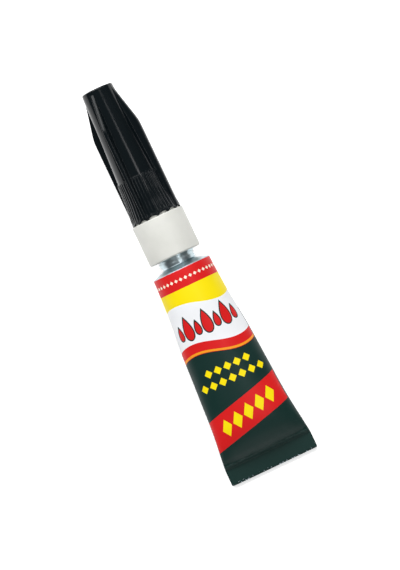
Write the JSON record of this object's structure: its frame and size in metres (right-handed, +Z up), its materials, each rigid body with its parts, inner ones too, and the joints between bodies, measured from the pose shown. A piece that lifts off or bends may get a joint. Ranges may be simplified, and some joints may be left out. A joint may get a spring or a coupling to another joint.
{
  "type": "super glue tube",
  "caption": "Collapsible metal glue tube lying on a table, with a folded end, a screw-on collar and spout, and a finned cap that unscrews and lifts off.",
  "frame": {"origin": "on the table under the middle of the lying tube: the centre of the bottom of its bounding box", "axes": "+Y from the folded end towards the cap, along the tube's length as it lies; +Z up, the way the printed front faces; +X to the right seen from the folded end. The tube's own axis rises towards the cap by 7.26 degrees, because the tube lies on its shoulder's edge and on its folded end."},
  "size_m": [0.0206, 0.0912, 0.0165],
  "materials": {
    "printed_tube": "gloss print on thin aluminium",
    "bare_aluminium": "bright",
    "sealing_compound": "matte",
    "adhesive": "clear",
    "white_polyethylene": "satin moulded",
    "pin_steel": "drawn",
    "black_polypropylene": "gloss moulded"
  },
  "bodies": {
    "tube": {"tube_shell": "printed_tube", "membrane": "bare_aluminium", "end_seal": "sealing_compound", "glue": "adhesive"},
    "nozzle": {"nozzle": "white_polyethylene"},
    "cap_pin": {"cap_pin": "pin_steel"},
    "cap": {"cap": "black_polypropylene"}
  },
  "joints": [
    {"name": "nozzle_screw", "type": "slide", "parent": "tube", "child": "nozzle", "axis": [0, 0.992, 0.1264], "range_m": [-0.0019, 0.008], "deforming": ["membrane"]},
    {"name": "cap_lift", "type": "slide", "parent": "nozzle", "child": "cap_pin", "axis": [0, 0.992, 0.1264], "range_m": [0, 0.03]},
    {"name": "cap_turn", "type": "hinge", "parent": "cap_pin", "child": "cap", "pos_m": [0, 0.04212, 0.01181], "axis": [0, 0.992, 0.1264], "range_deg": [0, 900]}
  ]
}
